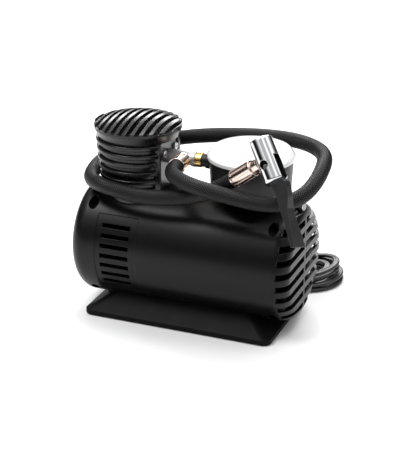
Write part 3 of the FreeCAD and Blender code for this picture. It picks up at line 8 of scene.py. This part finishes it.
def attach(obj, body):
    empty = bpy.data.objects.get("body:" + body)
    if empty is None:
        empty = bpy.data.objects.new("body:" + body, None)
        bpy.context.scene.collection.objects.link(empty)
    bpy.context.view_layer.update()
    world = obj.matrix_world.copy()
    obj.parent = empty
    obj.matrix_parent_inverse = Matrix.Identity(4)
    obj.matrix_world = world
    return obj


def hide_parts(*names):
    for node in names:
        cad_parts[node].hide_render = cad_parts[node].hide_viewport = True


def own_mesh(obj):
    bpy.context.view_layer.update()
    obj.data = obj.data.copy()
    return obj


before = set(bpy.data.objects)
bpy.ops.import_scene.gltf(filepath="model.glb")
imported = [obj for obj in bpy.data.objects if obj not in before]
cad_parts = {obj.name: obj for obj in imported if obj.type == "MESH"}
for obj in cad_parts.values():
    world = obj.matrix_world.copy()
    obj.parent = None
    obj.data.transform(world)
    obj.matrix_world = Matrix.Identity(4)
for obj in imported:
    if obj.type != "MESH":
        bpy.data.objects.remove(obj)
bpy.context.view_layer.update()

MM = 0.001
TURN = 2 * math.pi


def at(*place):
    """A point given in millimetres."""
    return Vector(place) * MM


# ---------------------------------------------------------------- camera, light and floor

def camera():
    bearing, rise, distance = math.radians(22), math.radians(22.5), 1.0
    back = Vector((math.sin(bearing) * math.cos(rise), -math.cos(bearing) * math.cos(rise), math.sin(rise)))
    data = bpy.data.cameras.new("camera")
    data.lens = 112.25
    data.sensor_width = 36
    data.clip_start = 0.01
    item = bpy.data.objects.new("camera", data)
    bpy.context.scene.collection.objects.link(item)
    item.location = at(3, 0, 65.6) + back * distance
    item.rotation_euler = (-back).to_track_quat("-Z", "Y").to_euler()
    bpy.context.scene.camera = item


def area_light(name, place, aim, size, power):
    data = bpy.data.lights.new(name, "AREA")
    data.shape = "RECTANGLE"
    data.size, data.size_y = size
    data.energy = power
    item = bpy.data.objects.new(name, data)
    bpy.context.scene.collection.objects.link(item)
    item.location = place
    item.rotation_euler = (Vector(aim) - Vector(place)).to_track_quat("-Z", "Y").to_euler()


def studio():
    world = bpy.data.worlds.new("studio")
    bpy.context.scene.world = world
    world.use_nodes = True
    sky = world.node_tree.nodes["Background"]
    sky.inputs["Strength"].default_value = 1.25
    tree = world.node_tree
    ahead = tree.nodes.new("ShaderNodeTexCoord")
    height = tree.nodes.new("ShaderNodeSeparateXYZ")
    fade = tree.nodes.new("ShaderNodeValToRGB")
    link(tree, ahead, "Generated", height, "Vector")
    link(tree, height, "Z", fade, "Fac")
    fade.color_ramp.elements[0].color = (0.02, 0.02, 0.02, 1)
    fade.color_ramp.elements[0].position = 0.3
    fade.color_ramp.elements[1].color = (1, 1, 1, 1)
    fade.color_ramp.elements[1].position = 0.66
    bearing = maths(tree, "ARCTAN2", height.outputs["Y"], height.outputs["X"])
    ripple = maths(tree, "SINE", maths(tree, "MULTIPLY", bearing, 5))
    bars = tree.nodes.new("ShaderNodeMapRange")
    bars.inputs["From Min"].default_value = -0.25
    bars.inputs["From Max"].default_value = 0.35
    bars.inputs["To Min"].default_value = 0.45
    tree.links.new(ripple, bars.inputs["Value"])
    mixed = tree.nodes.new("ShaderNodeMix")
    mixed.data_type = "RGBA"
    mixed.blend_type = "MULTIPLY"
    mixed.inputs["Factor"].default_value = 1
    tree.links.new(fade.outputs["Color"], mixed.inputs[6])
    tree.links.new(bars.outputs["Result"], mixed.inputs[7])
    tree.links.new(mixed.outputs[2], sky.inputs["Color"])
    area_light("key", (-0.5, -0.45, 1.3), (0, 0, 0.06), (0.7, 0.5), 10)
    area_light("top", (0.15, 0.35, 1.3), (0, 0, 0.05), (1.0, 0.5), 12)
    area_light("back", (-0.45, 1.15, 0.62), (-0.04, 0, 0.13), (0.9, 0.28), 9)
    area_light("side", (1.2, 0.1, 0.75), (0, 0, 0.07), (0.3, 0.5), 1)
    bpy.context.scene.view_settings.view_transform = "Standard"
    bpy.ops.mesh.primitive_plane_add(size=8, location=(0, 0, 0))
    floor = bpy.context.object
    floor.name = "studio_floor"
    floor.data.materials.append(finish("paper_floor", (0.9, 0.9, 0.9), 0.75, grain=0.00002, grain_size=0.002,
                                       mottle=0.01))


# ---------------------------------------------------------------- finishes

def link(tree, source, output, target, entry):
    tree.links.new(source.outputs[output], target.inputs[entry])


def maths(tree, operation, *values):
    """One maths node's output; each value is a socket or a number."""
    node = tree.nodes.new("ShaderNodeMath")
    node.operation = operation
    for entry, value in enumerate(values):
        if isinstance(value, (int, float)):
            node.inputs[entry].default_value = value
        else:
            tree.links.new(value, node.inputs[entry])
    return node.outputs["Value"]


def noise(tree, coordinates, size, detail=4.0, rough=0.55):
    """A noise whose lumps are about size metres wide."""
    node = tree.nodes.new("ShaderNodeTexNoise")
    node.inputs["Scale"].default_value = 1 / size
    node.inputs["Detail"].default_value = detail
    node.inputs["Roughness"].default_value = rough
    tree.links.new(coordinates, node.inputs["Vector"])
    return node


def finish(name, colour, roughness, metallic=0.0, grain=0.00002, grain_size=0.0006, mottle=0.06, lump=0.02,
           rough_spread=0.06, edge=0.0, **sockets):
    """A procedural material: colour that drifts a little over lumps, roughness with smudges in it, a
    fine moulded or cast grain, and softened edges. sockets are set on the shader itself."""
    material = bpy.data.materials.new(name)
    material.use_nodes = True
    tree = material.node_tree
    shader = tree.nodes["Principled BSDF"]
    place = tree.nodes.new("ShaderNodeTexCoord").outputs["Object"]
    drift = noise(tree, place, lump, 3.0)
    ramp = tree.nodes.new("ShaderNodeValToRGB")
    ramp.color_ramp.elements[0].position = 0.3
    ramp.color_ramp.elements[1].position = 0.7
    ramp.color_ramp.elements[0].color = (*[value * (1 - mottle) for value in colour], 1)
    ramp.color_ramp.elements[1].color = (*[min(1, value * (1 + mottle)) for value in colour], 1)
    link(tree, drift, "Fac", ramp, "Fac")
    link(tree, ramp, "Color", shader, "Base Color")
    smudge = noise(tree, place, lump * 0.35, 5.0, 0.65)
    spread = tree.nodes.new("ShaderNodeMapRange")
    spread.inputs["To Min"].default_value = max(0.02, roughness - rough_spread)
    spread.inputs["To Max"].default_value = min(1, roughness + rough_spread)
    link(tree, smudge, "Fac", spread, "Value")
    link(tree, spread, "Result", shader, "Roughness")
    bump = tree.nodes.new("ShaderNodeBump")
    bump.inputs["Strength"].default_value = 1.0
    bump.inputs["Distance"].default_value = grain
    link(tree, noise(tree, place, grain_size, 2.0), "Fac", bump, "Height")
    if edge:
        soften = tree.nodes.new("ShaderNodeBevel")
        soften.samples = 6
        soften.inputs["Radius"].default_value = edge
        link(tree, soften, "Normal", bump, "Normal")
    link(tree, bump, "Normal", shader, "Normal")
    shader.inputs["Metallic"].default_value = metallic
    for socket, value in sockets.items():
        shader.inputs[socket.replace("_", " ")].default_value = value
    return material


def dial_finish():
    """White card with a plain scale: 48 marks over three quarters of a turn, every eighth one longer."""
    material = finish("dial_card", (0.9, 0.9, 0.89), 0.5, grain=0.000005, mottle=0.01)
    tree = material.node_tree
    shader = tree.nodes["Principled BSDF"]
    parts = tree.nodes.new("ShaderNodeSeparateXYZ")
    tree.links.new(tree.nodes.new("ShaderNodeTexCoord").outputs["Object"], parts.inputs["Vector"])
    along = maths(tree, "SUBTRACT", parts.outputs["X"], 41.3 * MM)
    across = parts.outputs["Y"]
    radius = maths(tree, "SQRT", maths(tree, "ADD", maths(tree, "MULTIPLY", along, along),
                                     maths(tree, "MULTIPLY", across, across)))
    angle = maths(tree, "ARCTAN2", across, along)
    small = maths(tree, "LESS_THAN", maths(tree, "PINGPONG", maths(tree, "MULTIPLY", angle, 64 / TURN), 0.5), 0.09)
    large = maths(tree, "LESS_THAN", maths(tree, "PINGPONG", maths(tree, "MULTIPLY", angle, 8 / TURN), 0.5), 0.022)
    small = maths(tree, "MULTIPLY", small, maths(tree, "COMPARE", radius, 21.4 * MM, 1.1 * MM))
    large = maths(tree, "MULTIPLY", large, maths(tree, "COMPARE", radius, 20.3 * MM, 2.2 * MM))
    arc = maths(tree, "COMPARE", radius, 22.6 * MM, 0.12 * MM)
    ink = maths(tree, "MAXIMUM", maths(tree, "MAXIMUM", small, large), arc)
    open_side = maths(tree, "COMPARE", angle, -TURN / 4, TURN / 8 - 0.03)
    ink = maths(tree, "MULTIPLY", ink, maths(tree, "SUBTRACT", 1.0, open_side))
    mix = tree.nodes.new("ShaderNodeMix")
    mix.data_type = "RGBA"
    paper = shader.inputs["Base Color"].links[0].from_socket
    tree.links.new(ink, mix.inputs["Factor"])
    tree.links.new(paper, mix.inputs[6])
    mix.inputs[7].default_value = (0.16, 0.16, 0.17, 1)
    tree.links.new(mix.outputs[2], shader.inputs["Base Color"])
    return material


BLACK = (0.0035, 0.0035, 0.0037)


def cad_finishes():
    """Every piece that keeps its own solid gets its finish here."""
    shell = finish("satin_black_abs", BLACK, 0.34, grain=0.00002, grain_size=0.0007, edge=0.0006,
                   Specular_IOR_Level=0.22)
    base = finish("base_black_abs", BLACK, 0.5, grain=0.00003, grain_size=0.0007, edge=0.0006,
                  Specular_IOR_Level=0.1)
    louvre = finish("semigloss_black_abs", BLACK, 0.26, grain=0.00002, grain_size=0.0009, edge=0.0004,
                    Specular_IOR_Level=0.45)
    inner = finish("moulded_black", (0.006, 0.006, 0.0062), 0.4, edge=0.0003, Specular_IOR_Level=0.35)
    rubber = finish("foot_rubber", (0.016, 0.016, 0.017), 0.75, grain=0.00004)
    zinc = finish("bright_zinc", (0.62, 0.62, 0.63), 0.3, 1.0, grain=0.00001, grain_size=0.0004, edge=0.0002)
    dark_screw = finish("black_zinc", (0.08, 0.08, 0.085), 0.38, 1.0, edge=0.0002)
    ground = finish("ground_steel", (0.6, 0.6, 0.61), 0.22, 1.0, grain=0.000006, grain_size=0.0003)
    plated = finish("zinc_plate", (0.52, 0.52, 0.54), 0.36, 1.0, grain=0.00002, grain_size=0.0012, edge=0.0004)
    cast = finish("cast_aluminium", (0.56, 0.56, 0.57), 0.45, 1.0, grain=0.00005, grain_size=0.0008, edge=0.0003)
    iron = finish("sintered_iron", (0.22, 0.21, 0.2), 0.5, 1.0, grain=0.00004, grain_size=0.0005)
    ferrite = finish("ferrite", (0.05, 0.05, 0.055), 0.7, grain=0.00004)
    bronze = finish("oiled_bronze", (0.5, 0.33, 0.15), 0.4, 1.0, grain=0.00003, grain_size=0.0004)
    copper = finish("enamelled_copper", (0.55, 0.2, 0.08), 0.35, 0.9, grain=0.00006, grain_size=0.0008)
    nylon = finish("nylon", (0.75, 0.72, 0.62), 0.4, grain=0.00001, edge=0.0002, Subsurface_Weight=0.1)
    carbon = finish("carbon_brush", (0.03, 0.03, 0.03), 0.6)
    fibre = finish("gasket_fibre", (0.08, 0.09, 0.08), 0.85, grain=0.00005)
    brass = finish("turned_brass", (0.78, 0.52, 0.18), 0.22, 1.0, grain=0.000008, grain_size=0.0004, edge=0.0002)
    manifold = finish("grey_zinc_casting", (0.42, 0.42, 0.43), 0.42, 0.75, grain=0.00006, grain_size=0.0012,
                      edge=0.0004)
    nickel = finish("warm_nickel", (0.8, 0.66, 0.6), 0.2, 1.0, grain=0.00001, grain_size=0.0005, mottle=0.04,
                    edge=0.0003)
    chrome = finish("mirror_chrome", (0.78, 0.79, 0.81), 0.06, 1.0, grain=0.000001, grain_size=0.002,
                    mottle=0.01, rough_spread=0.02, edge=0.0005)
    lever = finish("glass_filled_nylon", (0.014, 0.014, 0.0145), 0.38, grain=0.00003, grain_size=0.0005,
                   edge=0.0006)
    card = dial_finish()
    needle = finish("needle_paint", (0.25, 0.02, 0.015), 0.35)
    glass = finish("clear_acrylic", (0.98, 0.99, 0.99), 0.03, mottle=0.0, rough_spread=0.01, grain=0.000002,
                   grain_size=0.01, Specular_IOR_Level=0.4, Alpha=0.12)
    rim = finish("pearl_acrylic", (0.9, 0.905, 0.91), 0.14, mottle=0.01, grain=0.000004, edge=0.0008,
                 Coat_Weight=0.6)
    lead = finish("soft_pvc", (0.012, 0.012, 0.0125), 0.33, grain=0.00002, grain_size=0.0007)
    sets = {
        shell: ["housing_front", "housing_rear"],
        base: ["base_plate"],
        louvre: ["head_shroud", "louvre_cap", "plug_body", "plug_ring"],
        inner: ["motor_end_cap", "gauge_stem", "gauge_case", "cord_tie"],
        rubber: ["rubber_feet", "piston_seal", "chuck_seal", "cord_gland"],
        zinc: ["shroud_screws", "head_screws", "base_screws", "valve_spring", "delivery_valve", "lever_pin"],
        dark_screw: ["housing_screws"],
        ground: ["crank_bearings", "crank_shaft", "motor_shaft", "wrist_pin", "pinion"],
        plated: ["motor_can", "crankcase"],
        cast: ["piston", "connecting_rod", "cylinder", "cylinder_head"],
        iron: ["counterweight"],
        ferrite: ["motor_magnets"],
        bronze: ["motor_bushes", "big_end_bearing"],
        copper: ["armature", "commutator"],
        nylon: ["crank_gear"],
        carbon: ["motor_brushes"],
        fibre: ["head_gasket"],
        brass: ["brass_nipple", "bourdon_tube"],
        manifold: ["outlet_manifold"],
        nickel: ["hose_crimp", "chuck_ferrule", "chuck_neck"],
        chrome: ["chuck_barrel", "plug_tip", "plug_contacts"],
        lever: ["chuck_lever"],
        card: ["gauge_dial"],
        needle: ["gauge_needle"],
        glass: ["gauge_lens"],
        rim: ["gauge_bezel"],
        lead: ["air_hose", "cord_hank", "power_cord", "plug_lead"],
    }
    # painted shade: the faces inside the chuck barrel's bore take a dark non-metal finish in place of the chrome,
    # standing in for the shade inside the bore
    bore_painted_shade = finish("chuck_bore_painted_shade", (0.01, 0.01, 0.01), 0.4, Specular_IOR_Level=0.2)
    for material, names in sets.items():
        for name in names:
            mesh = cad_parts[name].data
            mesh.materials.clear()
            mesh.materials.append(material)
    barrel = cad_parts["chuck_barrel"].data
    barrel.materials.append(bore_painted_shade)
    # pick out the faces inside the bore for the painted shade
    start, axis = at(75.5, -46, 124.5), Vector((-0.529882, 0.419898, 0.736825))
    for face in barrel.polygons:
        for vertex in face.vertices:
            reach = barrel.vertices[vertex].co - start
            along = reach.dot(axis)
            if (reach - axis * along).length < 7.7 * MM and 1.8 * MM < along < 29 * MM:
                face.material_index = 1
    return lead


# ---------------------------------------------------------------- cords

def spline_line(name, route):
    """The smooth line of a route, read back from its NURBS spline."""
    data = bpy.data.curves.new(name, "CURVE")
    data.dimensions = "3D"
    data.resolution_u = 14
    spline = data.splines.new("NURBS")
    spline.points.add(len(route) - 1)
    for point, place in zip(spline.points, route):
        point.co = (*at(*place), 1)
    spline.order_u = 3
    spline.use_endpoint_u = True
    item = bpy.data.objects.new(name, data)
    bpy.context.scene.collection.objects.link(item)
    bpy.context.view_layer.update()
    mesh = bpy.data.meshes.new_from_object(item.evaluated_get(bpy.context.evaluated_depsgraph_get()))
    line = [vertex.co.copy() for vertex in mesh.vertices]
    bpy.data.objects.remove(item)
    bpy.data.meshes.remove(mesh)
    return line


def stepped(line, step):
    """The same line walked in even steps, with both ends kept."""
    far = [0.0]
    for before, after in zip(line, line[1:]):
        far.append(far[-1] + (after - before).length)
    count = max(2, round(far[-1] / step))
    points, index = [], 0
    for number in range(count + 1):
        want = far[-1] * number / count
        while index < len(line) - 2 and far[index + 1] < want:
            index += 1
        span = far[index + 1] - far[index]
        share = (want - far[index]) / span if span else 0
        points.append(line[index].lerp(line[index + 1], min(1, max(0, share))))
    return points, far[-1]


def skinned(name, line, section, upright=False):
    """A tube round a line. section(share, step) gives the outline at one ring as (across, up) pairs;
    upright keeps a flat cord's width level, and otherwise the outline is carried along untwisted."""
    vertices, faces, shares = [], [], []
    side = None
    for number, place in enumerate(line):
        ahead = (line[min(number + 1, len(line) - 1)] - line[max(number - 1, 0)]).normalized()
        if upright or side is None:
            side = ahead.cross(Vector((0, 0, 1))).normalized()
        else:
            side = (side - ahead * side.dot(ahead)).normalized()
        up = side.cross(ahead)
        ring = section(number)
        vertices += [place + side * across + up * high for across, high in ring]
        around = len(ring)
        shares.append(around)
        if number:
            low = (number - 1) * around
            for spot in range(around):
                after = (spot + 1) % around
                faces.append((low + spot, low + after, low + around + after, low + around + spot))
    around = shares[0]
    last = (len(line) - 1) * around
    faces.append(tuple(reversed(range(around))))
    faces.append(tuple(range(last, last + around)))
    mesh = bpy.data.meshes.new(name)
    mesh.from_pydata([tuple(vertex) for vertex in vertices], [], faces)
    mesh.validate()
    item = bpy.data.objects.new(name, mesh)
    bpy.context.scene.collection.objects.link(item)
    layer = mesh.uv_layers.new(name="along")
    for face in mesh.polygons[:-2]:
        ring, spot = divmod(face.index, around)
        corners = [(spot, ring), (spot + 1, ring), (spot + 1, ring + 1), (spot, ring + 1)]
        for loop, (across, along) in zip(face.loop_indices, corners):
            layer.data[loop].uv = (across / around, along / (len(line) - 1))
    for face in mesh.polygons[:-2]:
        face.use_smooth = True
    return item


HOSE_ROUTE = [
    (-7, -19.5, 114.8), (-7, -31, 114.8), (5, -39.5, 112.8), (21.8, -47, 112.5), (36.4, -47.3, 110.8),
    (50.6, -46.8, 108.8), (64.3, -46, 107.4), (77.5, -43, 107.7), (88, -33, 110.3), (92.9, -20, 115.2),
    (93.4, -2, 121), (90, 15, 123.6), (79, 29.5, 124.2), (61, 38.5, 124.4), (40, 40.5, 124), (16, 40.5, 122),
    (-8, 41.5, 118.4), (-32, 42.5, 113), (-53, 39.5, 107.5), (-70, 29, 103), (-80, 13.5, 99.6),
    (-79.2, -2.5, 97.2), (-74, -18.5, 97), (-61, -31.5, 98.4), (-44.4, -36.2, 97.9), (-28, -37.2, 96.2),
    (-10, -36, 97), (9, -34.5, 100), (27.9, -36.7, 107.6), (42.24, -37.52, 118.41),
]
HOSE_RADIUS = 5.5 * MM
STRANDS = 18


def braid_finish(length):
    """Black braid over rubber: two families of yarn that cross at a slant. The crossings are lightened as a
    painted glint and the gaps darkened as painted shade.
    """
    material = finish("braided_cover", (0.008, 0.008, 0.0085), 0.3, grain=0.00002, grain_size=0.0004,
                      Specular_IOR_Level=0.16)
    tree = material.node_tree
    shader = tree.nodes["Principled BSDF"]
    own = tree.nodes.new("ShaderNodeUVMap")
    own.uv_map = "along"
    parts = tree.nodes.new("ShaderNodeSeparateXYZ")
    link(tree, own, "UV", parts, "Vector")
    across = maths(tree, "MULTIPLY", parts.outputs["X"], STRANDS)
    waves = [maths(tree, "PINGPONG", maths(tree, "MULTIPLY_ADD", parts.outputs["Y"],
                                           turn * STRANDS * length / (TURN * HOSE_RADIUS), across), 0.5)
             for turn in (1, -1)]
    crossing = maths(tree, "MINIMUM", *waves)
    # painted glint and painted shade: the braid lattice is real, but its crossings get a lighter base colour for
    # the yarn's glints and the gaps a near-black one for shade
    painted_glint_tone = tree.nodes.new("ShaderNodeValToRGB")
    painted_glint_tone.color_ramp.elements[0].position = 0.2
    painted_glint_tone.color_ramp.elements[1].position = 0.38
    painted_glint_tone.color_ramp.elements[0].color = (0.002, 0.002, 0.002, 1)
    painted_glint_tone.color_ramp.elements[1].color = (0.05, 0.05, 0.052, 1)
    tree.links.new(crossing, painted_glint_tone.inputs["Fac"])
    link(tree, painted_glint_tone, "Color", shader, "Base Color")
    bump = tree.nodes.new("ShaderNodeBump")
    bump.inputs["Strength"].default_value = 0.9
    bump.inputs["Distance"].default_value = 0.0003
    tree.links.new(crossing, bump.inputs["Height"])
    link(tree, bump, "Normal", shader, "Normal")
    return material


def braided_hose():
    """The hose, with the braid's crossings standing proud of its cover."""
    line, length = stepped(spline_line("hose_line", HOSE_ROUTE), TURN * HOSE_RADIUS / STRANDS / 4)
    spots = 4 * STRANDS
    proud = 0.26 * MM

    def ring(number):
        outline = []
        for spot in range(spots):
            angle = TURN * spot / spots
            crossing = math.cos(TURN * number / 4) * math.cos(TURN * spot / 4)
            radius = HOSE_RADIUS - proud + proud * crossing
            outline.append((radius * math.cos(angle), radius * math.sin(angle)))
        return outline

    hose = skinned("braided_hose", line, ring)
    hose.data.materials.append(braid_finish(length))
    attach(hose, "body")
    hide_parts("air_hose")


LEAD_START = [(62, 47.8, 21), (62, 55, 20.6), (57, 62, 17), (47, 62, 14), (36, 59, 12.2)]
LEAD_WIDTH = 5 * MM
STRAND_RADIUS = 1.27 * MM
TURNS = [(0, 3), (0, 2), (0, 1), (0, 0), (1, 0), (1, 1), (1, 2)]


def hank_route():
    """One lead wound into a long flat hank: down the outside of the pile, then up the inside of it, and
    across the middle to the plug."""
    route = list(LEAD_START)
    for turn, (column, row) in enumerate(TURNS):
        inset = 2.7 + 5.2 * column + 0.25 * math.sin(2.3 * turn)
        height = 1.75 + 2.5 * row
        radius = 28 - inset
        fan = 1.5 * row + 2.6 * column
        reach = 86 - inset - radius
        loose = 1.0 * math.sin(1.7 * turn + 0.4)
        stretch = 0.6 * math.cos(2.9 * turn)
        front, back = 52 + inset, 108 - inset
        route += [(16, front, height + 1.2), (2, front, height + 0.2)]
        for x in (-18, -38):
            route.append((x, front + 0.1 * loose, height))
        for step in range(7):
            angle = math.radians(-90 - 30 * step)
            lift = 0.35 * math.sin(step + turn)
            route.append((-reach - stretch + (radius + stretch) * math.cos(angle), 80 + radius * math.sin(angle),
                          height + (lift if 0 < step < 6 else 0)))
        for x in (-34, -8, 18, 42):
            route.append((x, back + 0.35 * loose * math.sin(x), height))
        for step in range(7):
            angle = math.radians(90 - 30 * step)
            lift = (0.4 * math.sin(1.4 * step + 2.1 * turn) + 2.1 * row) * math.sin(math.pi * step / 6)
            route.append((reach + stretch + (radius + 3 - fan) * math.cos(angle),
                          79 + (radius + 2 - fan) * math.sin(angle), height + lift))
        route.append((44, front + 0.45 * fan - 0.8, height))
        route.append((29, front, height))
    route += [(14, 60.5, 9.5), (-4, 60.3, 9.3), (-22, 60.4, 8.9), (-40, 60.8, 9.2), (-54, 61.3, 9.8),
              (-65, 64.5, 10.4), (-69.5, 71, 10.8), (-66, 77.5, 10.8), (-57, 79.5, 10.8), (-46, 79.5, 10.8),
              (-34, 79.5, 10.8)]
    return route


def twin_lead(material):
    line, length = stepped(spline_line("lead_line", hank_route()), 2.4 * MM)
    spots = 9

    def ring(_):
        points = []
        for side in (1, -1):
            for spot in range(spots):
                angle = math.radians((-130 if side > 0 else 50) + spot * 260 / (spots - 1))
                points.append((side * (LEAD_WIDTH / 2 - STRAND_RADIUS) + STRAND_RADIUS * math.cos(angle),
                               STRAND_RADIUS * math.sin(angle)))
        return points

    lead = skinned("twin_lead", line, ring, upright=True)
    lead.data.materials.append(material)
    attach(lead, "body")
    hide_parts("cord_hank", "power_cord", "plug_lead")


def squeezed_spring():
    """The valve's spring as its own smooth-shaded copy of the coil, with doubled points merged, carried with the
    body.
    """
    spring = bpy.data.objects.new("coil_spring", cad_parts["valve_spring"].data.copy())
    bpy.context.scene.collection.objects.link(spring)
    bpy.ops.object.select_all(action="DESELECT")
    spring.select_set(True)
    bpy.context.view_layer.objects.active = spring
    bpy.ops.object.mode_set(mode="EDIT")
    bpy.ops.mesh.select_all(action="SELECT")
    bpy.ops.mesh.remove_doubles(threshold=0.000001)
    bpy.ops.object.mode_set(mode="OBJECT")
    bpy.ops.object.shade_smooth_by_angle(angle=math.radians(40))
    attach(spring, "body")
    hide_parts("valve_spring")
    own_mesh(spring)


camera()
studio()
soft_pvc = cad_finishes()
braided_hose()
twin_lead(soft_pvc)
squeezed_spring()
